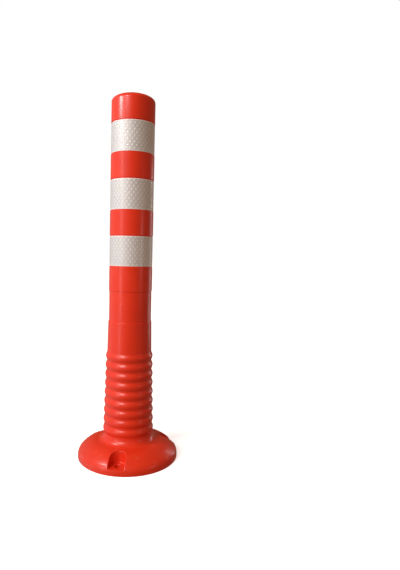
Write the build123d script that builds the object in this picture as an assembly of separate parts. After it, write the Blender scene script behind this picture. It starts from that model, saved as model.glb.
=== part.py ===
from build123d import *

import math
import os

# A flexible delineator post: one hollow moulding that bends at its ribs, with glued reflective bands.
# Millimetres, +Z up, origin at the centre of the underside of the base.

# Overall sizes
post_height = 750.0
base_diameter = 210.0
tube_diameter = 89.5

# Base flange
rim_foot_radius = 1.5
rim_height = 6.0
rim_shoulder_width = 4.7
rim_shoulder_height = 18.5
dome_height = 36.7
neck_radius = 53.0
neck_fillet = 10.0
neck_height = 52.5
base_wall = 6.0
rim_land = 12.0
spoke_count = 12
spoke_thickness = 4.0

# Bolt pockets, open at the rim, and the holes in their floors
pocket_count = 3
pocket_angle = -13.0
bolt_inset = 19.0
pocket_radius = 16.5
pocket_floor = 12.5
pocket_wall = 4.0
bolt_hole_radius = 6.5

# Bending ribs
rib_count = 9
rib_pitch = 19.2
rib_width = 13.5
rib_crest = 2.6
rib_root_bottom = 50.6
rib_root_top = 46.3
collar_rib = 8
plain_flex_length = 63.2

# Plain tube and its recesses
tube_wall = 4.5
tube_swell = 0.4
top_wall = 5.0
top_dome = 3.0
top_edge_radius = 6.0
top_margin = 57.0
recess_count = 4
recess_height = 63.5
recess_depth = 0.9
recess_ledge = 0.6

# Reflective bands, glued in the recesses above the lowest
band_names = ["lower", "middle", "upper"]
band_edge_gap = 1.5
band_thickness = 0.5
glue_gap = 0.05

# Worked out from the sizes above
base_radius = base_diameter / 2
tube_radius = tube_diameter / 2
recess_radius = tube_radius - recess_depth
bolt_circle_radius = base_radius - bolt_inset
first_rib = neck_height + rib_pitch / 2
ribs_top = neck_height + rib_count * rib_pitch
flex_top = ribs_top + plain_flex_length
collar_bottom = neck_height + (collar_rib - 1) * rib_pitch
collar_top = collar_bottom + rib_pitch
bore_radius = rib_root_bottom - tube_wall
recess_step = (post_height - top_margin - flex_top - recess_height) / (recess_count - 1)
recess_bottoms = [flex_top + recess_step * number for number in range(recess_count)]


# Outlines are lists of edges in the XZ plane, with points given as (radius, height).


def straight_edges(*points):
    return [Line((a, 0, b), (c, 0, d)) for (a, b), (c, d) in zip(points, points[1:])]


def arc_edge(*points):
    return ThreePointArc(*[(radius, 0, height) for radius, height in points])


def turned(edges):
    return revolve(make_face(edges), axis=Axis.Z)


def root_radius(height):
    # Outside of the moulding between its ribs: tapered along the ribs, nearly straight above them.
    if height <= ribs_top:
        share = (height - neck_height) / (ribs_top - neck_height)
        return rib_root_bottom + share * (rib_root_top - rib_root_bottom)
    share = (height - ribs_top) / (flex_top - ribs_top)
    return rib_root_top + share * (tube_radius + tube_swell - rib_root_top)


def bore_edges(*heights):
    return straight_edges(*[(root_radius(height) - tube_wall, height) for height in heights])


def rib_edges(number):
    # One rib pitch: a short straight, the rounded bead, and a short straight.
    crest = first_rib + number * rib_pitch
    low, high = crest - rib_width / 2, crest + rib_width / 2
    start, end = crest - rib_pitch / 2, crest + rib_pitch / 2
    edges = straight_edges((root_radius(start), start), (root_radius(low), low))
    edges.append(arc_edge(
        (root_radius(low), low), (root_radius(crest) + rib_crest, crest), (root_radius(high), high)))
    return edges + straight_edges((root_radius(high), high), (root_radius(end), end))


def ribbed_length(first, last, plain_top=None):
    # The hollow length that holds ribs first to last, and the plain wall above them up to plain_top.
    edges = []
    for number in range(first, last + 1):
        edges += rib_edges(number)
    bottom = neck_height + first * rib_pitch
    top = neck_height + (last + 1) * rib_pitch
    heights = [top, bottom]
    if plain_top:
        edges += straight_edges((root_radius(top), top), (root_radius(plain_top), plain_top))
        heights = [plain_top, top, bottom]
    edges += straight_edges(
        (root_radius(heights[0]), heights[0]), (root_radius(heights[0]) - tube_wall, heights[0]))
    edges += bore_edges(*heights)
    edges += straight_edges((root_radius(bottom) - tube_wall, bottom), (root_radius(bottom), bottom))
    return turned(edges)


def dome_line(radius):
    # Height of the top of the flange: flat at the neck's fillet and steeper towards the rim.
    inner, outer = neck_radius + neck_fillet, base_radius - rim_shoulder_width
    share = (radius - inner) / (outer - inner)
    return dome_height - (dome_height - rim_shoulder_height) * share**2


def flange_body():
    # The flange as if solid down to the ground, with only the bore through it.
    shoulder_radius = base_radius - rim_shoulder_width
    dome_start = neck_radius + neck_fillet
    dome_middle = (shoulder_radius + dome_start) / 2
    fillet_lean = neck_fillet * (1 - math.sqrt(0.5))
    rim_bend = (base_radius - rim_shoulder_width * 0.22, (rim_height + rim_shoulder_height) / 2)
    edges = straight_edges((bore_radius, 0), (base_radius - rim_foot_radius, 0))
    edges += straight_edges(
        (base_radius - rim_foot_radius, 0), (base_radius, rim_foot_radius), (base_radius, rim_height))
    edges.append(arc_edge((base_radius, rim_height), rim_bend, (shoulder_radius, rim_shoulder_height)))
    edges.append(arc_edge(
        (shoulder_radius, rim_shoulder_height),
        (dome_middle, dome_line(dome_middle)),
        (dome_start, dome_height)))
    edges.append(arc_edge(
        (dome_start, dome_height),
        (neck_radius + fillet_lean, dome_height + fillet_lean),
        (neck_radius, dome_height + neck_fillet)))
    edges += straight_edges(
        (neck_radius, dome_height + neck_fillet),
        (rib_root_bottom, neck_height),
        (bore_radius, neck_height),
        (bore_radius, 0))
    return turned(edges)


def flange_hollow():
    # The space under the dome, between the bore's wall and the rim's land.
    inner = bore_radius + tube_wall
    outer = base_radius - rim_land
    middle = (inner + outer) / 2 + neck_fillet
    start = neck_radius + neck_fillet
    edges = straight_edges((inner, 0), (inner, dome_height - base_wall), (start, dome_height - base_wall))
    edges.append(arc_edge(
        (start, dome_height - base_wall),
        (middle, dome_line(middle) - base_wall),
        (outer, dome_line(outer) - base_wall)))
    edges += straight_edges((outer, dome_line(outer) - base_wall), (outer, 0), (inner, 0))
    return turned(edges)


def around(shape_maker, count, start_angle):
    # Copies at equal steps about Z; angle 0 faces the front, along -Y.
    return [Rot(0, 0, start_angle + 360 / count * number) * shape_maker() for number in range(count)]


def spoke():
    inner, outer = bore_radius + tube_wall / 2, base_radius - rim_land / 2
    bar = Box(spoke_thickness, outer - inner, dome_height)
    return Pos(0, -(inner + outer) / 2, dome_height / 2) * bar


def pocket_block(radius):
    # Round at its inner end, with straight sides from the bolt's centre out to the rim.
    mouth = Pos(0, -bolt_inset / 2, 0) * Box(2 * radius, bolt_inset, dome_height)
    return Pos(0, -bolt_circle_radius, dome_height / 2) * (Cylinder(radius, dome_height) + mouth)


def pocket_boss():
    return pocket_block(pocket_radius + pocket_wall)


def pocket_hollow():
    return Pos(0, 0, pocket_floor) * pocket_block(pocket_radius)


def bolt_hole():
    hole = Cylinder(bolt_hole_radius, dome_height * 2)
    return Pos(0, -bolt_circle_radius, dome_height / 2) * hole


def base_flange():
    solid = flange_body()
    fillers = around(spoke, spoke_count, pocket_angle)
    fillers += around(pocket_boss, pocket_count, pocket_angle)
    hollow = flange_hollow()
    for filler in fillers:
        hollow = hollow - filler
    solid = solid - hollow
    for cutter in around(pocket_hollow, pocket_count, pocket_angle):
        solid = solid - cutter
    for cutter in around(bolt_hole, pocket_count, pocket_angle):
        solid = solid - cutter
    return solid


def recess_edges(bottom):
    # The outside of the tube past one recess, with a sloped ledge at each end.
    top = bottom + recess_height
    return straight_edges(
        (tube_radius, bottom - recess_ledge), (recess_radius, bottom),
        (recess_radius, top), (tube_radius, top + recess_ledge))


def upper_tube():
    shoulder = post_height - top_dome - top_edge_radius
    lean = top_edge_radius * (1 - math.sqrt(0.5))
    flat_radius = tube_radius - top_edge_radius
    edges = straight_edges(
        (recess_radius, flex_top),
        (recess_radius, flex_top + recess_height),
        (tube_radius, flex_top + recess_height + recess_ledge))
    for below, bottom in zip(recess_bottoms, recess_bottoms[1:]):
        edges += straight_edges(
            (tube_radius, below + recess_height + recess_ledge), (tube_radius, bottom - recess_ledge))
        edges += recess_edges(bottom)
    edges += straight_edges(
        (tube_radius, recess_bottoms[-1] + recess_height + recess_ledge), (tube_radius, shoulder))
    edges.append(arc_edge(
        (tube_radius, shoulder),
        (tube_radius - lean, shoulder + top_edge_radius - lean),
        (flat_radius, shoulder + top_edge_radius)))
    cap_radius = (flat_radius**2 + top_dome**2) / (2 * top_dome)
    halfway = post_height - cap_radius + math.sqrt(cap_radius**2 - (flat_radius / 2) ** 2)
    edges.append(arc_edge(
        (flat_radius, shoulder + top_edge_radius), (flat_radius / 2, halfway), (0, post_height)))
    inner_radius = tube_radius - tube_wall
    edges += straight_edges(
        (0, post_height),
        (0, post_height - top_wall),
        (flat_radius, post_height - top_dome - top_wall),
        (inner_radius, shoulder - top_wall),
        (inner_radius, flex_top),
        (recess_radius, flex_top))
    return turned(edges)


def reflective_band(bottom):
    height = recess_height - 2 * band_edge_gap
    inner_radius = recess_radius + glue_gap
    film = Cylinder(inner_radius + band_thickness, height) - Cylinder(inner_radius, height)
    return Pos(0, 0, bottom + band_edge_gap + height / 2) * film


parts = {
    "base_flange": base_flange(),
    "flex_section_lower": ribbed_length(0, collar_rib - 2),
    "flex_collar": ribbed_length(collar_rib - 1, collar_rib - 1),
    "flex_section_upper": ribbed_length(collar_rib, rib_count - 1, flex_top),
    "upper_tube": upper_tube(),
}
for name, bottom in zip(band_names, recess_bottoms[1:]):
    parts["reflective_band_" + name] = reflective_band(bottom)

os.makedirs("parts", exist_ok=True)
for name, shape in parts.items():
    export_step(shape, f"parts/{name}.step")
    print(name, round(shape.volume / 1000, 1), "cm3")
print("bending centres at", (neck_height + collar_bottom) / 2, "and", (collar_top + flex_top) / 2)
print("bolt circle", 2 * bolt_circle_radius)
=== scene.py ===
import math

import bmesh
import bpy
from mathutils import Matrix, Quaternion, Vector


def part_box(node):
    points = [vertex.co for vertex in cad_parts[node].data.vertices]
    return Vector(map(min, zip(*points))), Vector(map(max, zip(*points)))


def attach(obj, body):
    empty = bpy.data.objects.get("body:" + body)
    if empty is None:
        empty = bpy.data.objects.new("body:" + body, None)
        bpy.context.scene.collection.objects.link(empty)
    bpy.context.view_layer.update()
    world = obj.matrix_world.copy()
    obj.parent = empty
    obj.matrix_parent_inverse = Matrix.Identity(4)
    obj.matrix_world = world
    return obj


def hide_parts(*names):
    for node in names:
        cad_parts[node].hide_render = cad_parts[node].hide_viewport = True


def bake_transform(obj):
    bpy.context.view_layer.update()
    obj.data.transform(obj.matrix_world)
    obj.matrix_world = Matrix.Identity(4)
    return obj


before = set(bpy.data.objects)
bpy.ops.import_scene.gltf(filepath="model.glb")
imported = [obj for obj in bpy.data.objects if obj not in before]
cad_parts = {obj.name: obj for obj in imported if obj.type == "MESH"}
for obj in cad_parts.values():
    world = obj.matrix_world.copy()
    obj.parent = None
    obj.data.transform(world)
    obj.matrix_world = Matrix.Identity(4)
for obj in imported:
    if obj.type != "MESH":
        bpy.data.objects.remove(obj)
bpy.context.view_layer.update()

# Heights of the seams between the moulding's pieces, from the CAD nodes they replace
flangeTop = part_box("base_flange")[1].z
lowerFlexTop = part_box("flex_section_lower")[1].z
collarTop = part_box("flex_collar")[1].z
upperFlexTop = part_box("flex_section_upper")[1].z
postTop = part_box("upper_tube")[1].z
touching = 0.00002    # places nearer than this are the same place
print("frame loaded, post height", round(postTop, 3))


# Selecting and editing

def deselectAll():
    if bpy.context.object and bpy.context.object.mode != "OBJECT":
        bpy.ops.object.mode_set(mode="OBJECT")
    bpy.ops.object.select_all(action="DESELECT")


def makeActive(piece):
    deselectAll()
    piece.select_set(True)
    bpy.context.view_layer.objects.active = piece


def startEditing(piece, selectBy="VERT"):
    makeActive(piece)
    bpy.ops.object.mode_set(mode="EDIT")
    bpy.ops.mesh.select_mode(type=selectBy)
    bpy.ops.mesh.select_all(action="DESELECT")


def stopEditing():
    bpy.ops.object.mode_set(mode="OBJECT")


def selectWhere(parts, wanted):
    # Parts is "verts" or "faces" of the mesh in edit mode
    bpy.ops.mesh.select_mode(type=parts[:-1].upper())
    bpy.ops.mesh.select_all(action="DESELECT")
    mesh = bmesh.from_edit_mesh(bpy.context.object.data)
    for item in getattr(mesh, parts):
        if wanted(item):
            item.select_set(True)
    mesh.select_flush_mode()
    bmesh.update_edit_mesh(bpy.context.object.data)


def selectOpenEdges(looseToo=False):
    bpy.ops.mesh.select_mode(type="EDGE")
    bpy.ops.mesh.select_all(action="DESELECT")
    bpy.ops.mesh.select_non_manifold(
        extend=False, use_wire=looseToo, use_boundary=True,
        use_multi_face=False, use_non_contiguous=False, use_verts=False)


def applyModifier(piece, kind, **settings):
    makeActive(piece)
    modifier = piece.modifiers.new(kind.title(), kind)
    for setting, value in settings.items():
        setattr(modifier, setting, value)
    bpy.ops.object.modifier_apply(modifier=modifier.name)


def cutAway(piece, cutter):
    applyModifier(piece, "BOOLEAN", operation="DIFFERENCE", solver="EXACT", object=cutter)
    bpy.data.objects.remove(cutter)


def smoothBelow(piece, degrees):
    makeActive(piece)
    bpy.ops.object.shade_smooth_by_angle(angle=math.radians(degrees))


def closeAndShade(piece):
    startEditing(piece)
    bpy.ops.mesh.select_all(action="SELECT")
    bpy.ops.mesh.remove_doubles(threshold=touching)
    bpy.ops.mesh.normals_make_consistent(inside=False)
    stopEditing()
    smoothBelow(piece, 35)


# Turned shapes: a circle is pulled from ring to ring along an outline of (radius, height) points

def startTurning(name, point, sides):
    deselectAll()
    bpy.ops.mesh.primitive_circle_add(vertices=sides, radius=point[0], location=(0, 0, point[1]))
    piece = bpy.context.object
    piece.name = name
    piece.data.name = name
    bpy.ops.object.transform_apply(location=True, rotation=True, scale=True)
    startEditing(piece)
    bpy.ops.mesh.select_all(action="SELECT")
    return piece


def pullRings(outline):
    # The ring at the outline's first point is already selected
    for (radius, height), (nextRadius, nextHeight) in zip(outline, outline[1:]):
        bpy.ops.mesh.extrude_region_move(TRANSFORM_OT_translate={"value": (0, 0, nextHeight - height)})
        share = nextRadius / radius
        bpy.ops.transform.resize(value=(share, share, 1), center_override=(0, 0, nextHeight))


def turnedPiece(name, outline, sides):
    # The outline goes round the wall and ends where it began
    piece = startTurning(name, outline[0], sides)
    pullRings(outline + [outline[0]])
    closeAndShade(piece)
    return piece


def selectRing(point):
    radius, height = point
    selectWhere("verts", lambda vertex: abs(vertex.co.z - height) < touching
                and abs(math.hypot(vertex.co.x, vertex.co.y) - radius) < touching)


def withinHalfTurn(angle):
    return (angle + math.pi) % (2 * math.pi) - math.pi


def arcPoints(start, middle, end, steps):
    # Points after start, up to end, on the circle through three points
    (x1, y1), (x2, y2), (x3, y3) = start, middle, end
    square1, square2, square3 = x1**2 + y1**2, x2**2 + y2**2, x3**2 + y3**2
    twice = 2 * (x1 * (y2 - y3) + x2 * (y3 - y1) + x3 * (y1 - y2))
    centreX = (square1 * (y2 - y3) + square2 * (y3 - y1) + square3 * (y1 - y2)) / twice
    centreY = (square1 * (x3 - x2) + square2 * (x1 - x3) + square3 * (x2 - x1)) / twice
    radius = math.hypot(x1 - centreX, y1 - centreY)
    first = math.atan2(y1 - centreY, x1 - centreX)
    turn = withinHalfTurn(math.atan2(y3 - centreY, x3 - centreX) - first)
    angles = [first + turn * step / steps for step in range(1, steps + 1)]
    return [(centreX + radius * math.cos(a), centreY + radius * math.sin(a)) for a in angles]


def cornerPoints(start, corner, end, steps):
    # Points after start, up to end, on a quarter round inside a square corner
    cut = 0.29    # how far the round's middle stands in from the corner, as a share of its radius
    middle = [at + cut * (before - at) + cut * (after - at) for before, at, after in zip(start, corner, end)]
    return arcPoints(start, middle, end, steps)


def evenSteps(start, end, steps):
    return [start + (end - start) * step / steps for step in range(steps + 1)]


# Finishing: body, node, material slot, material and the place that patterns follow

def rememberPlace(piece):
    # Each vertex keeps its place at rest, so that a pattern stays put when the piece bends
    places = piece.data.attributes.new("restPlace", "FLOAT_VECTOR", "POINT")
    for vertex, place in zip(piece.data.vertices, places.data):
        place.vector = vertex.co


def finishPiece(piece, material, nodeName, body=None):
    piece.data.materials.clear()
    piece.data.materials.append(material)
    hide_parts(nodeName)
    if body:
        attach(piece, body)


# Materials

def addNode(tree, kind, **settings):
    node = tree.nodes.new(kind)
    for setting, value in settings.items():
        setattr(node, setting, value)
    return node


def setInputs(node, **values):
    for socket, value in values.items():
        node.inputs[socket.replace("_", " ")].default_value = value


def noiseAt(tree, place, scale, detail, roughness=0.5, stretch=None):
    if stretch:
        mapping = addNode(tree, "ShaderNodeMapping")
        mapping.inputs["Scale"].default_value = stretch
        tree.links.new(place, mapping.inputs["Vector"])
        place = mapping.outputs["Vector"]
    noise = addNode(tree, "ShaderNodeTexNoise")
    setInputs(noise, Scale=scale, Detail=detail, Roughness=roughness)
    tree.links.new(place, noise.inputs["Vector"])
    return noise.outputs["Fac"]


def remap(tree, value, fromMin, fromMax, toMin, toMax, smooth=False):
    node = addNode(tree, "ShaderNodeMapRange", clamp=True)
    if smooth:
        node.interpolation_type = "SMOOTHSTEP"
    limits = {"From Min": fromMin, "From Max": fromMax, "To Min": toMin, "To Max": toMax}
    for socket, amount in limits.items():
        node.inputs[socket].default_value = amount
    tree.links.new(value, node.inputs["Value"])
    return node.outputs["Result"]


def combine(tree, operation, first, second=None):
    node = addNode(tree, "ShaderNodeMath", operation=operation)
    for socket, value in zip(node.inputs, (first, second)):
        if value is None:
            continue
        if isinstance(value, (int, float)):
            socket.default_value = value
        else:
            tree.links.new(value, socket)
    return node.outputs[0]


def mixColours(tree, share, first, second):
    # A mix node's sockets are alike by name: its colours are inputs 6 and 7 and output 2
    node = addNode(tree, "ShaderNodeMix", data_type="RGBA")
    tree.links.new(share, node.inputs[0])
    for socket, value in zip(node.inputs[6:8], (first, second)):
        if isinstance(value, tuple):
            socket.default_value = (*value, 1)
        else:
            tree.links.new(value, socket)
    return node.outputs[2]


def addBump(tree, height, distance, strength=1.0, below=None):
    node = addNode(tree, "ShaderNodeBump")
    node.inputs["Distance"].default_value = distance
    node.inputs["Strength"].default_value = strength
    tree.links.new(height, node.inputs["Height"])
    if below:
        tree.links.new(below, node.inputs["Normal"])
    return node.outputs["Normal"]


mostNoise = (0.35, 0.65)    # most of a noise's values lie between these

plastic = {
    "deepRed": (0.75, 0.031, 0.008),
    "brightRed": (0.82, 0.037, 0.010),
    "cloudScale": 14,                 # light and dark clouds in the colour
    "roughness": (0.29, 0.38),        # smoothest and dullest patches
    "patchScale": 34,
    "scuffColour": (0.80, 0.16, 0.10),
    "scuffReach": (0.01, 0.075),      # heights where scuffs are thickest and thinnest
    "scuffThinnest": 0.15,
    "scuffScale": 46,
    "scuffStretch": (1, 1, 3.5),      # scuffs run round the post
    "scuffEdges": (0.56, 0.80),       # where in its noise a scuff begins, and where it is full
    "scuffShare": 0.35,               # how far a scuff hides the red
    "scuffRoughness": 0.18,
    "grainScale": 900,
    "grainDepth": 0.00003,            # the fine skin from the mould
    "waveScale": 26,
    "waveDepth": 0.00025,             # the slow waves of a thick moulding
}


def makePlastic():
    material = bpy.data.materials.new("orangeRedMoulding")
    material.use_nodes = True
    tree = material.node_tree
    shader = tree.nodes["Principled BSDF"]
    place = addNode(tree, "ShaderNodeAttribute", attribute_name="restPlace").outputs["Vector"]
    clouds = remap(tree, noiseAt(tree, place, plastic["cloudScale"], 4, 0.6), *mostNoise, 0, 1)
    reds = mixColours(tree, clouds, plastic["deepRed"], plastic["brightRed"])
    # Scuffs: thick low down, faint further up
    separate = addNode(tree, "ShaderNodeSeparateXYZ")
    tree.links.new(place, separate.inputs[0])
    height = separate.outputs["Z"]
    lowDown = remap(tree, height, *plastic["scuffReach"], 1, plastic["scuffThinnest"], smooth=True)
    scuffNoise = noiseAt(tree, place, plastic["scuffScale"], 4, 0.55, plastic["scuffStretch"])
    marks = remap(tree, scuffNoise, *plastic["scuffEdges"], 0, 1, smooth=True)
    scuffs = combine(tree, "MULTIPLY", marks, lowDown)
    scuffShare = combine(tree, "MULTIPLY", scuffs, plastic["scuffShare"])
    tree.links.new(mixColours(tree, scuffShare, reds, plastic["scuffColour"]), shader.inputs["Base Color"])
    patchNoise = noiseAt(tree, place, plastic["patchScale"], 6, 0.6)
    patches = remap(tree, patchNoise, 0.35, 0.7, *plastic["roughness"])
    scuffRoughness = combine(tree, "MULTIPLY", scuffs, plastic["scuffRoughness"])
    tree.links.new(combine(tree, "ADD", patches, scuffRoughness), shader.inputs["Roughness"])
    waves = addBump(tree, noiseAt(tree, place, plastic["waveScale"], 1), plastic["waveDepth"], 0.6)
    grain = addBump(tree, noiseAt(tree, place, plastic["grainScale"], 3), plastic["grainDepth"], 0.7, waves)
    tree.links.new(grain, shader.inputs["Normal"])
    setInputs(shader, Metallic=0.0, IOR=1.42, Coat_Weight=0.12, Coat_Roughness=0.16, Coat_IOR=1.5)
    return material


film = {
    "sides": 186,                     # a multiple of the columns, so that cells repeat evenly
    "columns": 31,                    # lattice cells round the post
    "rowPitch": 0.0122,
    "columnAngle": 28.0,              # where one column of crossings stands, right of the front
    "thickness": 0.0005,
    "pillow": 0.00007,                # how far each cell bulges
    "pillowRows": 36,                 # rings that the bulging stretch is divided into
    "flatEdge": 0.001,                # the film lies flat this far in from its edges
    "edgeRadius": 0.00018,
    "lapAngle": 186.0,                # the end lies over the start at the back
    "lapWidth": 9.0,                  # degrees
    "lapHeight": 0.00025,
    "lapSkin": 0.0001,                # how deep under the surface a face still rises with the lap
    "silver": (0.65, 0.605, 0.575),
    "cellTint": (0.61, 0.575, 0.553),
    "tintScale": 1.3,                 # in cells
    # white of the seals and crossings, also used for the painted highlight along the edges
    "sealAndHighlightWhite": (0.86, 0.83, 0.80),
    "sealWidths": (0.03, 0.075),      # full and faded out, in cells
    "sealShare": 0.2,                 # how white the lattice lines are between crossings
    "sealHeight": 0.3,                # how high they stand next to a crossing
    "sealDepth": 0.00025,
    "crossingWidths": (0.13, 0.22),
    "crossingGloss": 0.35,            # crossings are this much as rough
    "paintedEdgeHighlight": 0.0016,                 # width of the painted highlight along the edges, where the film's edges catch light
    "roughness": (0.42, 0.55),
    "metallic": (0.22, 0.02),         # of the silver cells, and of the white seals and painted edge highlight
    "prisms": (22.0, 30.0),           # fine ridges across and up one cell
    "prismDepth": 0.00006,
}


def makeFilm():
    material = bpy.data.materials.new("prismaticFilm")
    material.use_nodes = True
    tree = material.node_tree
    shader = tree.nodes["Principled BSDF"]
    place = addNode(tree, "ShaderNodeAttribute", attribute_name="filmPlace").outputs["Vector"]
    separate = addNode(tree, "ShaderNodeSeparateXYZ")
    tree.links.new(place, separate.inputs[0])
    across, up = separate.outputs["X"], separate.outputs["Y"]
    # Distance from the nearest rising line and the nearest falling line of the lattice
    rising = combine(tree, "PINGPONG", combine(tree, "ADD", across, up), 0.5)
    falling = combine(tree, "PINGPONG", combine(tree, "SUBTRACT", across, up), 0.5)
    nearest = combine(tree, "MINIMUM", rising, falling)
    farthest = combine(tree, "MAXIMUM", rising, falling)
    seals = remap(tree, nearest, *film["sealWidths"], 1, 0, smooth=True)
    crossings = remap(tree, farthest, *film["crossingWidths"], 1, 0, smooth=True)
    # Painted highlight: the film is whitened within one width of each edge, where its edges catch light
    paintedEdgeHighlight = remap(tree, separate.outputs["Z"], 0.5, 1, 1, 0, smooth=True)
    prismsAcross, prismsUp = film["prisms"]
    fineAcross = combine(tree, "PINGPONG", combine(tree, "MULTIPLY", across, prismsAcross), 0.5)
    fineUp = combine(tree, "PINGPONG", combine(tree, "MULTIPLY", up, prismsUp), 0.5)
    prisms = combine(tree, "ADD", fineAcross, fineUp)
    tint = remap(tree, noiseAt(tree, place, film["tintScale"], 2), *mostNoise, 0, 1)
    cells = mixColours(tree, tint, film["silver"], film["cellTint"])
    # White seal lines, together with the painted edge highlight
    lines = combine(tree, "MAXIMUM", combine(tree, "MULTIPLY", seals, film["sealShare"]), paintedEdgeHighlight)
    whiteShare = combine(tree, "MAXIMUM", lines, crossings)
    tree.links.new(mixColours(tree, whiteShare, cells, film["sealAndHighlightWhite"]), shader.inputs["Base Color"])
    tree.links.new(remap(tree, whiteShare, 0, 1, *film["metallic"]), shader.inputs["Metallic"])
    cellRoughness = remap(tree, prisms, 0, 1, *film["roughness"])
    glossy = remap(tree, crossings, 0, 1, 1, film["crossingGloss"])
    tree.links.new(combine(tree, "MULTIPLY", cellRoughness, glossy), shader.inputs["Roughness"])
    prismBump = addBump(tree, prisms, film["prismDepth"], 0.35)
    lowSeals = combine(tree, "MULTIPLY", seals, film["sealHeight"])
    sealBump = addBump(tree, combine(tree, "ADD", lowSeals, crossings), film["sealDepth"], 0.8, prismBump)
    tree.links.new(sealBump, shader.inputs["Normal"])
    setInputs(shader, IOR=1.5, Coat_Weight=0.25, Coat_Roughness=0.12, Coat_IOR=1.49)
    return material


orangeRed = makePlastic()
prismatic = makeFilm()
print("materials made")


# Base flange: a domed disc with three bolt pockets, hollow underneath between spokes

flange = {
    "sides": 240,
    "radius": 0.105,
    "footRadius": 0.0015,
    "rimHeight": 0.006,
    "shoulderWidth": 0.0047,
    "shoulderHeight": 0.0185,
    "shoulderBend": 0.22,             # share of its width that the shoulder's middle stands in
    "domeHeight": 0.0367,
    "domeStart": 0.063,               # radius where the dome is level
    "flareStart": 0.066,              # and where it begins to rise into the neck
    "boreRadius": 0.0461,
    "boreWall": 0.0045,
    "domeWall": 0.006,
    "land": 0.012,                    # width of the flat ring it stands on
    "spokes": 12,
    "spokeThickness": 0.004,
    "cellRounding": 0.0012,           # of the spaces between the spokes
    "cutterSpare": 0.003,             # how far one cutter runs into or past another
}
pocket = {
    "count": 3,
    "firstAngle": -13.0,              # degrees to the right of the front
    "boltCircle": 0.086,              # radius
    "radius": 0.0165,
    "floor": 0.0125,
    "wall": 0.004,
    "lipRounding": 0.0013,
    "floorRounding": 0.0022,
    "holeRadius": 0.0065,
    "holeChamfer": 0.0008,
    "holeSides": 48,
    "bossSides": 72,
    "sides": 96,
    "mouthTurn": math.pi / 4,         # points within this turn of a ring's outer end lie along the mouth
    "spare": 0.0012,                  # the opening cut for a pocket is this much too large
    # Rings over the lip, as shares of its rounding: out past the wall, and down from the dome
    "lipRings": ((1, 0), (0.48, 0.10), (0.14, 0.42), (0, 1)),
    "lipDip": 0.0001,                 # how far below the floor they may reach beside the mouth
    # Rings down the wall and on to the floor, as shares of its rounding: in from the wall, and up
    "floorRings": ((0, 1), (0.13, 0.5), (0.5, 0.13), (1, 0)),
    # How far each ring's mouth stands out from where the floor meets the outside, and how far it dips
    # below the floor, except the first ring's, which lies on the outside
    "mouthSteps": (0.0005, 0.0002, -0.0002, -0.0007, -0.0013, -0.0020, -0.0028, -0.0036),
    "mouthDips": (0.0003, 0.0001, 0, 0, 0, 0, 0),
}
shoulderRadius = flange["radius"] - flange["shoulderWidth"]
rimBend = (flange["radius"] - flange["shoulderWidth"] * flange["shoulderBend"],
           (flange["rimHeight"] + flange["shoulderHeight"]) / 2)
shoulderArc = arcPoints((flange["radius"], flange["rimHeight"]), rimBend,
                        (shoulderRadius, flange["shoulderHeight"]), 40)


def domeLine(radius):
    share = (radius - flange["domeStart"]) / (shoulderRadius - flange["domeStart"])
    return flange["domeHeight"] - (flange["domeHeight"] - flange["shoulderHeight"]) * share**2


def flangeTopAt(radius):
    # Height of the outside at a radius: the dome, or the rounded shoulder beyond it
    if radius <= shoulderRadius:
        return domeLine(radius)
    for (outer, low), (inner, high) in zip(shoulderArc, shoulderArc[1:]):
        if inner <= radius <= outer:
            return low + (high - low) * (outer - radius) / (outer - inner)
    return flange["rimHeight"]


def pocketCentre(number):
    angle = math.radians(pocket["firstAngle"] + 360 / pocket["count"] * number)
    return pocket["boltCircle"] * math.sin(angle), -pocket["boltCircle"] * math.cos(angle)


def flangeOutline():
    radius, foot = flange["radius"], flange["footRadius"]
    bore, flareStart = flange["boreRadius"], flange["flareStart"]
    points = [(bore, 0.0), (radius - foot - flange["land"], 0.0), (radius - foot, 0.0)]
    points += arcPoints(points[-1], (radius - foot * 0.29, foot * 0.29), (radius, foot), 4)
    points += [(radius, flange["rimHeight"])]
    points += arcPoints(points[-1], rimBend, (shoulderRadius, flange["shoulderHeight"]), 9)
    points += [(step, domeLine(step)) for step in evenSteps(shoulderRadius, flareStart, 16)[1:]]
    # The dome flares up into the neck, which stands straight under the first rib
    flareWidth = flareStart - ribs["rootBottom"]
    flareRise = flangeTop - domeLine(flareStart)
    for turn in evenSteps(math.pi / 2, 0, 14)[1:]:
        points.append((flareStart - flareWidth * math.cos(turn), flangeTop - flareRise * math.sin(turn)))
    points += [(bore, height) for height in evenSteps(flangeTop, flange["rimHeight"], 4)]
    return points


def pocketPoint(number, turn, halfWidth, mouthRadius):
    # A place on a pocket's outline: round at its inner end, straight sides, and a mouth along the rim
    centreX, centreY = pocketCentre(number)
    distance = pocket["boltCircle"]
    if abs(turn) > math.pi / 2:
        out, across = halfWidth * math.cos(turn), halfWidth * math.sin(turn)
    elif abs(turn) > pocket["mouthTurn"]:
        share = (math.pi / 2 - abs(turn)) / (math.pi / 2 - pocket["mouthTurn"])
        out = share * (math.sqrt(mouthRadius**2 - halfWidth**2) - distance)
        across = math.copysign(halfWidth, turn)
    else:
        angle = math.asin(halfWidth / mouthRadius) * turn / pocket["mouthTurn"]
        out, across = mouthRadius * math.cos(angle) - distance, mouthRadius * math.sin(angle)
    outX, outY = centreX / distance, centreY / distance
    return centreX + outX * out - outY * across, centreY + outY * out + outX * across


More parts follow.
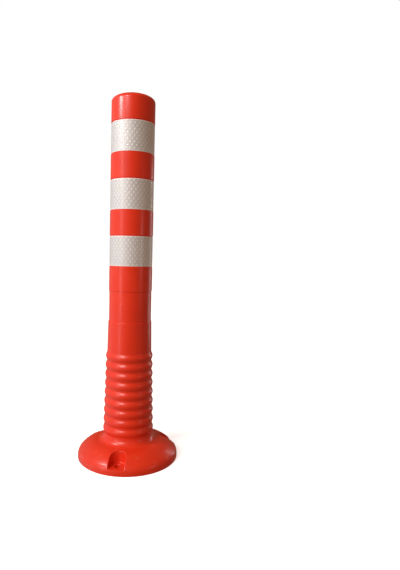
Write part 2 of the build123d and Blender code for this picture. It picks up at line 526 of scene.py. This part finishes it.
def pocketRings():
    # Each ring's half width, drop below the dome (None on the wall), rise above the floor, and the radius
    # and height of its mouth
    radius, floor = pocket["radius"], pocket["floor"]
    lip, corner = pocket["lipRounding"], pocket["floorRounding"]
    sections = [(radius + lip * out, lip * drop, 0) for out, drop in pocket["lipRings"]]
    sections += [(radius - corner * inward, None, corner * rise) for inward, rise in pocket["floorRings"]]
    rimRadii = evenSteps(shoulderRadius, flange["radius"], 400)
    floorEdge = max(rimRadius for rimRadius in rimRadii if flangeTopAt(rimRadius) >= floor)
    mouths = [floorEdge + step for step in pocket["mouthSteps"]]
    heights = [flangeTopAt(mouths[0])] + [floor - dip for dip in pocket["mouthDips"]]
    return [(*section, mouth, height) for section, mouth, height in zip(sections, mouths, heights)]


def placeKey(vertex):
    return tuple(round(value, 6) for value in vertex.co)


def shapePocketRing(number, ring, turns):
    # Moves the selected ring to its place; turns says how far round the pocket each of its vertices is
    halfWidth, drop, rise, mouthRadius, mouthHeight = ring
    lipWidth = pocket["radius"] + pocket["lipRounding"]
    mesh = bmesh.from_edit_mesh(bpy.context.object.data)
    moved = {}
    for vertex in mesh.verts:
        if not vertex.select:
            continue
        turn = turns[placeKey(vertex)]
        height = vertex.co.z
        vertex.co.x, vertex.co.y = pocketPoint(number, turn, halfWidth, mouthRadius)
        if abs(turn) <= pocket["mouthTurn"]:
            vertex.co.z = mouthHeight
        elif drop is None:
            vertex.co.z = min(height, pocket["floor"] + rise)
        else:
            lipPlace = pocketPoint(number, turn, lipWidth, mouthRadius)
            lowest = pocket["floor"] - pocket["lipDip"]
            vertex.co.z = max(flangeTopAt(math.hypot(*lipPlace)) - drop, lowest)
        moved[placeKey(vertex)] = turn
    bmesh.update_edit_mesh(bpy.context.object.data)
    return moved


def sinkPocket(number):
    centreX, centreY = pocketCentre(number)
    distance = pocket["boltCircle"]
    reach = pocket["radius"] + pocket["lipRounding"] + pocket["spare"]

    def overPocket(face):
        centre = face.calc_center_median()
        out = (centre.x * centreX + centre.y * centreY) / distance - distance
        across = abs(centre.x * centreY - centre.y * centreX) / distance
        if centre.z < pocket["floor"] - pocket["spare"] or out < -distance:
            return False
        return across < reach if out > 0 else math.hypot(across, out) < reach

    # Faces over the pocket go, and a ring on the dome's surface is joined to the opening they leave
    selectWhere("faces", overPocket)
    bpy.ops.mesh.delete(type="FACE")
    bpy.ops.mesh.select_mode(type="VERT")
    bpy.ops.mesh.primitive_circle_add(
        vertices=pocket["sides"], radius=pocket["radius"], location=(centreX, centreY, 0))
    mesh = bmesh.from_edit_mesh(bpy.context.object.data)
    outAngle = math.atan2(centreY, centreX)
    turns = {}
    for vertex in mesh.verts:
        if vertex.select:
            angle = math.atan2(vertex.co.y - centreY, vertex.co.x - centreX)
            turns[placeKey(vertex)] = withinHalfTurn(angle - outAngle)
    rings = pocketRings()
    turns = shapePocketRing(number, rings[0], turns)
    selectOpenEdges(looseToo=True)
    bpy.ops.mesh.bridge_edge_loops()
    # Over the lip, down the wall and on to the floor
    for ring in rings[1:]:
        selectOpenEdges()
        bpy.ops.mesh.extrude_region_move(TRANSFORM_OT_translate={"value": (0, 0, 0)})
        turns = shapePocketRing(number, ring, turns)
    bpy.ops.mesh.edge_face_add()


def makeSpokeBlock(width, inner, outer):
    # An upright block along the line through the first pocket, from one radius to another
    deselectAll()
    bpy.ops.mesh.primitive_cube_add(size=1, location=(0, -(inner + outer) / 2, flange["domeHeight"] / 2))
    block = bpy.context.object
    block.scale = (width, outer - inner, flange["domeHeight"] + 0.02)
    bpy.ops.object.transform_apply(location=True, rotation=True, scale=True)
    startEditing(block)
    bpy.ops.mesh.select_all(action="SELECT")
    bpy.ops.transform.rotate(
        value=-math.radians(pocket["firstAngle"]), orient_axis="Z", center_override=(0, 0, 0))
    return block


def repeatAround(count):
    # Copies of what is selected in edit mode, at equal steps about the post
    for copy in range(1, count):
        bpy.ops.mesh.duplicate()
        bpy.ops.transform.rotate(value=-2 * math.pi / count, orient_axis="Z", center_override=(0, 0, 0))
    stopEditing()


def makeUndersideCutter():
    # The space under the dome, less its spokes and the bosses round the bolt holes
    inner = flange["boreRadius"] + flange["boreWall"]
    outer = flange["radius"] - flange["land"]
    wall, spare, domeStart = flange["domeWall"], flange["cutterSpare"], flange["domeStart"]
    ceiling = flange["domeHeight"] - wall
    below = -0.004
    points = [(inner, below), (inner, ceiling), (domeStart, ceiling)]
    points += [(step, domeLine(step) - wall) for step in evenSteps(domeStart, outer, 8)[1:]]
    points += [(outer, below)]
    cutter = turnedPiece("undersideSpace", points, flange["sides"] // 2)
    spokes = makeSpokeBlock(flange["spokeThickness"], inner - spare, outer + spare)
    repeatAround(flange["spokes"])
    cutAway(cutter, spokes)
    bossRadius = pocket["radius"] + pocket["wall"]
    mouths = makeSpokeBlock(2 * bossRadius, pocket["boltCircle"], flange["radius"])
    repeatAround(pocket["count"])
    cutAway(cutter, mouths)
    for number in range(pocket["count"]):
        deselectAll()
        centreX, centreY = pocketCentre(number)
        bpy.ops.mesh.primitive_cylinder_add(
            vertices=pocket["bossSides"], radius=bossRadius, depth=0.09, location=(centreX, centreY, 0.02))
        cutAway(cutter, bpy.context.object)
    applyModifier(cutter, "BEVEL", width=flange["cellRounding"], segments=2, limit_method="ANGLE",
                  angle_limit=math.radians(50))
    return cutter


def makeBoltHoleCutter(number):
    centreX, centreY = pocketCentre(number)
    hole, chamfer, floor = pocket["holeRadius"], pocket["holeChamfer"], pocket["floor"]
    outline = [(hole + 2 * chamfer, -chamfer), (hole, chamfer), (hole, floor - chamfer),
               (hole + 2 * chamfer, floor + chamfer)]
    cutter = startTurning("boltHole", outline[0], pocket["holeSides"])
    bpy.ops.mesh.edge_face_add()
    pullRings(outline)
    closeAndShade(cutter)
    cutter.location = (centreX, centreY, 0)
    makeActive(cutter)
    bpy.ops.object.transform_apply(location=True, rotation=True, scale=True)
    return cutter


def makeBaseFlange():
    piece = turnedPiece("baseFlange", flangeOutline(), flange["sides"])
    startEditing(piece, "FACE")
    for number in range(pocket["count"]):
        sinkPocket(number)
    stopEditing()
    cutAway(piece, makeUndersideCutter())
    for number in range(pocket["count"]):
        cutAway(piece, makeBoltHoleCutter(number))
    smoothBelow(piece, 40)
    applyModifier(piece, "WEIGHTED_NORMAL", keep_sharp=True)
    return piece


# Ribbed lengths: the wall bends at nine rounded ribs

ribs = {
    "sides": 120,
    "count": 9,
    "pitch": 0.0192,
    "crest": 0.0026,
    "halfWidth": 0.0084,
    "softness": 1.35,                 # above 1 a rib runs out into the wall in a fillet
    "rootBottom": 0.0506,
    "rootTop": 0.0463,
    "plainTop": 0.04515,
    "wall": 0.0045,
    "ringsPerRib": 14,
    "topRounding": 0.0006,
}
ribsTop = flangeTop + ribs["count"] * ribs["pitch"]


def wallRadius(height):
    if height <= ribsTop:
        share = (height - flangeTop) / (ribsTop - flangeTop)
        return ribs["rootBottom"] + share * (ribs["rootTop"] - ribs["rootBottom"])
    share = (height - ribsTop) / (upperFlexTop - ribsTop)
    return ribs["rootTop"] + share * (ribs["plainTop"] - ribs["rootTop"])


def ribbedRadius(height):
    number = math.floor((height - flangeTop) / ribs["pitch"])
    if number >= ribs["count"]:
        return wallRadius(height)
    crestHeight = flangeTop + (number + 0.5) * ribs["pitch"]
    share = min(1, abs(height - crestHeight) / ribs["halfWidth"])
    return wallRadius(height) + ribs["crest"] * (1 - share**2) ** ribs["softness"]


def makeRibbedPiece(name, bottom, top, roundedTop=False):
    rings = round((top - bottom) / ribs["pitch"] * ribs["ringsPerRib"])
    outline = [(ribbedRadius(height), height) for height in evenSteps(bottom, top, rings)]
    if roundedTop:
        rounding = ribs["topRounding"]
        radius = outline[-1][0]
        outline[-1] = (radius, top - rounding)
        outline += cornerPoints(outline[-1], (radius, top), (radius - rounding, top), 3)
    insideHeights = evenSteps(top, bottom, rings // 3)
    outline += [(wallRadius(height) - ribs["wall"], height) for height in insideHeights]
    return turnedPiece(name, outline, ribs["sides"])


# Upper tube: plain, with four shallow recesses for bands and a closed, rounded top

tube = {
    "sides": 120,
    "radius": 0.04475,
    "recessCount": 4,
    "recessDepth": 0.0009,
    "recessHeight": 0.0635,
    "ledge": 0.0006,
    "topMargin": 0.057,               # from the highest recess to the top
    "capHeight": 0.0145,              # the top rounds over in this height
    "capRoundness": 2.7,              # 2 is a plain ellipse, and more is squarer
    "wall": 0.0045,
    "topWall": 0.005,
    "ceilingDome": 0.003,
    "ceilingEdge": 0.006,             # rounding between the ceiling and the wall inside
    "ceilingBend": (0.0006, 0.0022),  # how far in and up the middle of that rounding is
}


def ledgeLine(fromRadius, toRadius, bottom, top):
    # A short slope, rounded at both ends
    points = []
    for share in evenSteps(0, 1, 5):
        eased = share**2 * (3 - 2 * share)
        points.append((fromRadius + (toRadius - fromRadius) * eased, bottom + (top - bottom) * share))
    return points


def makePostTube():
    radius, ledge = tube["radius"], tube["ledge"]
    recessRadius = radius - tube["recessDepth"]
    firstBottom = upperFlexTop
    lastBottom = postTop - tube["topMargin"] - tube["recessHeight"]
    outline = [(recessRadius, firstBottom)]
    for number, bottom in enumerate(evenSteps(firstBottom, lastBottom, tube["recessCount"] - 1)):
        if number:
            outline += ledgeLine(radius, recessRadius, bottom - ledge, bottom)
        recessTop = bottom + tube["recessHeight"]
        outline += [(recessRadius, height) for height in evenSteps(bottom, recessTop, 6)[1:-1]]
        outline += ledgeLine(recessRadius, radius, recessTop, recessTop + ledge)
    capStart = postTop - tube["capHeight"]
    outline += [(radius, capStart)]
    for turn in evenSteps(0, math.pi / 2, 18)[1:-1]:
        outline.append((radius * math.cos(turn) ** (2 / tube["capRoundness"]),
                        capStart + tube["capHeight"] * math.sin(turn)))
    outline += [(0, postTop)]
    piece = startTurning("postTube", outline[0], tube["sides"])
    pullRings(outline)
    # From the first ring again: under the edge, up inside and over to the middle
    inside = radius - tube["wall"]
    ceiling = postTop - tube["topWall"]
    ceilingRadius = radius - tube["ceilingEdge"]
    wallTop = ceiling - tube["ceilingDome"] - tube["ceilingEdge"]
    bendIn, bendUp = tube["ceilingBend"]
    lining = [outline[0]]
    lining += [(inside, height) for height in evenSteps(firstBottom, wallTop, 12)]
    lining += arcPoints(lining[-1], (inside - bendIn, wallTop + bendUp),
                        (ceilingRadius, ceiling - tube["ceilingDome"]), 4)
    lining += [(ceilingRadius / 2, ceiling - tube["ceilingDome"] / 4), (0, ceiling)]
    selectRing(outline[0])
    pullRings(lining)
    closeAndShade(piece)
    return piece


# Reflective bands: a strip of film wrapped round in a recess, its end lapped over its start

bands = [
    {"name": "bandLower", "node": "reflective_band_lower", "firstCrossing": 0.0084},
    {"name": "bandMiddle", "node": "reflective_band_middle", "firstCrossing": 0.0031},
    {"name": "bandUpper", "node": "reflective_band_upper", "firstCrossing": 0.0066},
]


def makeBand(name, nodeName, firstCrossing):
    low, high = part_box(nodeName)
    bottom, top, outer = low.z, high.z, high.x
    inner = outer - film["thickness"]
    # The painted edge highlight is a whitened band this wide along each edge; rings are set at its inner
    # side
    rounding, paintedEdgeHighlight = film["edgeRadius"], film["paintedEdgeHighlight"]
    outline = [(inner, bottom), (outer - rounding, bottom)]
    outline += cornerPoints(outline[-1], (outer, bottom), (outer, bottom + rounding), 3)
    outline += [(outer, bottom + paintedEdgeHighlight / 2), (outer, bottom + paintedEdgeHighlight)]
    rows = evenSteps(bottom + paintedEdgeHighlight * 1.5, top - paintedEdgeHighlight * 1.5, film["pillowRows"])
    outline += [(outer, height) for height in rows]
    outline += [(outer, top - paintedEdgeHighlight), (outer, top - paintedEdgeHighlight / 2), (outer, top - rounding)]
    outline += cornerPoints(outline[-1], (outer, top), (outer - rounding, top), 3)
    outline += [(inner, top)]
    piece = turnedPiece(name, outline, film["sides"])
    columnAngle = math.radians(film["columnAngle"])
    cellAngle = 2 * math.pi / film["columns"]
    rowPitch = film["rowPitch"]

    def latticePlace(point):
        angle = math.atan2(point.x, -point.y)
        return (angle - columnAngle) / cellAngle, (point.z - top + firstCrossing) / rowPitch

    # Each cell of the lattice bulges a little between its seals
    bulge = piece.vertex_groups.new(name="bulge")
    for vertex in piece.data.vertices:
        across, up = latticePlace(vertex.co)
        fromEdge = min(vertex.co.z - bottom, top - vertex.co.z)
        onFace = math.hypot(vertex.co.x, vertex.co.y) > outer - touching and fromEdge > film["flatEdge"]
        rise = abs(math.sin(math.pi * (across + up)) * math.sin(math.pi * (across - up)))
        bulge.add([vertex.index], rise if onFace else 0, "REPLACE")
    applyModifier(piece, "DISPLACE", strength=film["pillow"], mid_level=0, vertex_group="bulge")
    # The lapped end
    lapCentre = math.radians(film["lapAngle"])
    lapHalf = math.radians(film["lapWidth"] / 2)
    startEditing(piece, "FACE")

    def onLap(face):
        centre = face.calc_center_median()
        angle = math.atan2(centre.x, -centre.y) % (2 * math.pi)
        outside = math.hypot(centre.x, centre.y) > outer - film["lapSkin"]
        return abs(angle - lapCentre) < lapHalf and outside

    selectWhere("faces", onLap)
    bpy.ops.mesh.extrude_region_shrink_fatten(TRANSFORM_OT_shrink_fatten={"value": film["lapHeight"]})
    stopEditing()
    smoothBelow(piece, 40)
    # Pattern place on each face corner, so that no cell is smeared where the angle starts again:
    # cells across, cells up, and the distance from the edge in widths of the painted edge highlight
    places = piece.data.attributes.new("filmPlace", "FLOAT_VECTOR", "CORNER")
    for face in piece.data.polygons:
        middle = latticePlace(face.center)[0]
        for corner, number in zip(face.loop_indices, face.vertices):
            point = piece.data.vertices[number].co
            across, up = latticePlace(point)
            across += film["columns"] * round((middle - across) / film["columns"])
            fromEdge = min(point.z - bottom, top - point.z) / paintedEdgeHighlight
            places.data[corner].vector = (across, up, min(2, fromEdge))
    return piece


baseFlange = makeBaseFlange()
rememberPlace(baseFlange)
finishPiece(baseFlange, orangeRed, "base_flange", "base")
print("base flange made,", len(baseFlange.data.polygons), "faces")

ribsLower = makeRibbedPiece("ribsLower", flangeTop, lowerFlexTop)
rememberPlace(ribsLower)
finishPiece(ribsLower, orangeRed, "flex_section_lower")
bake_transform(ribsLower)

ribCollar = makeRibbedPiece("ribCollar", lowerFlexTop, collarTop)
rememberPlace(ribCollar)
finishPiece(ribCollar, orangeRed, "flex_collar", "collar")

ribsUpper = makeRibbedPiece("ribsUpper", collarTop, upperFlexTop, roundedTop=True)
rememberPlace(ribsUpper)
finishPiece(ribsUpper, orangeRed, "flex_section_upper")
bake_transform(ribsUpper)
print("ribbed lengths made")

postTube = makePostTube()
rememberPlace(postTube)
finishPiece(postTube, orangeRed, "upper_tube", "upper")
print("post tube made")

for band in bands:
    piece = makeBand(band["name"], band["node"], band["firstCrossing"])
    finishPiece(piece, prismatic, band["node"], "upper")
print("bands made")


# Floor, light and camera

studio = {
    "floorSize": 60.0,
    "floorDrop": 0.0002,              # keeps its face clear of the base's
    "floorColour": (0.93, 0.93, 0.925),
    "floorGlow": 0.66,                # evens the floor out to the pale backdrop
    "leftColour": (0.87, 0.935, 1.0),    # of the bright, cool side of the room
    "leftStrength": 0.67,
    "rightColour": (1.0, 0.63, 0.40),    # of its dim, warm side
    "rightStrength": 0.245,
    "sunStrength": 1.40,
    "sunAngle": 20.0,
    "sunFrom": (-36, 33),             # degrees to the right of the front, and up
    "sunAway": 3.0,
}
# Each lamp faces the post at the height of its aim, and stands side degrees to the right of the front
lamps = [
    {"name": "tallSoftbox", "aim": 0.45, "side": -54, "up": 0, "away": 1.7,
     "size": (0.20, 1.4), "power": 3.8},
    {"name": "highSoftbox", "aim": 0.12, "side": -67, "up": 44, "away": 1.5,
     "size": (0.20, 0.18), "power": 7.2},
    {"name": "rightStrip", "aim": 0.45, "side": 126, "up": 0, "away": 1.5,
     "size": (0.04, 0.9), "power": 2.0},
    {"name": "rightGlint", "aim": 0.48, "side": 56, "up": 0, "away": 1.8,
     "size": (0.05, 0.26), "power": 0.9},
]
camera = {
    "place": (0.0, -0.9641, 0.4298),
    "turnRight": 5.174,               # degrees
    "tiltDown": 3.829,
    "roll": 1.326,
    "lens": 29.0,
    "shift": 0.049,
}


def fromFront(side, up):
    # The direction of a place, in degrees to the right of the front and above the horizon
    side, up = math.radians(side), math.radians(up)
    return Vector((math.sin(side) * math.cos(up), -math.cos(side) * math.cos(up), math.sin(up)))


def makeFloor():
    deselectAll()
    bpy.ops.mesh.primitive_plane_add(size=studio["floorSize"], location=(0, 0, -studio["floorDrop"]))
    floor = bpy.context.object
    floor.name = "studioFloor"
    material = bpy.data.materials.new("paleFloor")
    material.use_nodes = True
    shader = material.node_tree.nodes["Principled BSDF"]
    shader.inputs["Base Color"].default_value = (*studio["floorColour"], 1)
    setInputs(shader, Roughness=0.85, Specular_IOR_Level=0.1, Emission_Color=(1, 1, 1, 1),
              Emission_Strength=studio["floorGlow"])
    floor.data.materials.append(material)
    floor.visible_diffuse = False
    floor.visible_glossy = False


def makeRoom():
    # Bright on the left and dim on the right, while the camera sees a plain white backdrop
    world = bpy.data.worlds.new("paleStudio")
    bpy.context.scene.world = world
    world.use_nodes = True
    tree = world.node_tree
    backdrop = tree.nodes["Background"]
    setInputs(backdrop, Color=(1, 1, 1, 1), Strength=1.0)
    separate = addNode(tree, "ShaderNodeSeparateXYZ")
    tree.links.new(addNode(tree, "ShaderNodeTexCoord").outputs["Generated"], separate.inputs[0])
    toRight = remap(tree, separate.outputs["X"], -1, -0.1, 0, 1, smooth=True)
    colour = mixColours(tree, toRight, studio["leftColour"], studio["rightColour"])
    strength = remap(tree, toRight, 0, 1, studio["leftStrength"], studio["rightStrength"])
    room = addNode(tree, "ShaderNodeBackground")
    tree.links.new(colour, room.inputs["Color"])
    tree.links.new(strength, room.inputs["Strength"])
    mix = addNode(tree, "ShaderNodeMixShader")
    tree.links.new(addNode(tree, "ShaderNodeLightPath").outputs["Is Camera Ray"], mix.inputs[0])
    tree.links.new(room.outputs[0], mix.inputs[1])
    tree.links.new(backdrop.outputs[0], mix.inputs[2])
    tree.links.new(mix.outputs[0], tree.nodes["World Output"].inputs["Surface"])


def makeSun():
    direction = fromFront(*studio["sunFrom"])
    bpy.ops.object.light_add(type="SUN", location=direction * studio["sunAway"])
    sun = bpy.context.object
    sun.name = "softKey"
    sun.data.energy = studio["sunStrength"]
    sun.data.angle = math.radians(studio["sunAngle"])
    sun.rotation_euler = direction.to_track_quat("Z", "Y").to_euler()


def makeLamp(lamp):
    direction = fromFront(lamp["side"], lamp["up"])
    target = Vector((0, 0, lamp["aim"]))
    bpy.ops.object.light_add(type="AREA", location=target + direction * lamp["away"])
    light = bpy.context.object
    light.name = lamp["name"]
    light.data.shape = "RECTANGLE"
    light.data.size, light.data.size_y = lamp["size"]
    light.data.energy = lamp["power"]
    light.rotation_euler = direction.to_track_quat("Z", "Y").to_euler()
    light.visible_camera = False


def makeCamera():
    turn, tilt = math.radians(camera["turnRight"]), math.radians(camera["tiltDown"])
    forward = Vector((math.sin(turn) * math.cos(tilt), math.cos(turn) * math.cos(tilt), -math.sin(tilt)))
    bpy.ops.object.camera_add(location=camera["place"])
    eye = bpy.context.object
    eye.name = "frontCamera"
    eye.rotation_mode = "QUATERNION"
    roll = Quaternion((0, 0, 1), math.radians(camera["roll"]))
    eye.rotation_quaternion = forward.to_track_quat("-Z", "Y") @ roll
    eye.data.lens = camera["lens"]
    eye.data.shift_x = camera["shift"]
    bpy.context.scene.camera = eye


makeFloor()
makeRoom()
makeSun()
for lamp in lamps:
    makeLamp(lamp)
makeCamera()
bpy.context.scene.view_settings.view_transform = "Standard"
print("studio made")
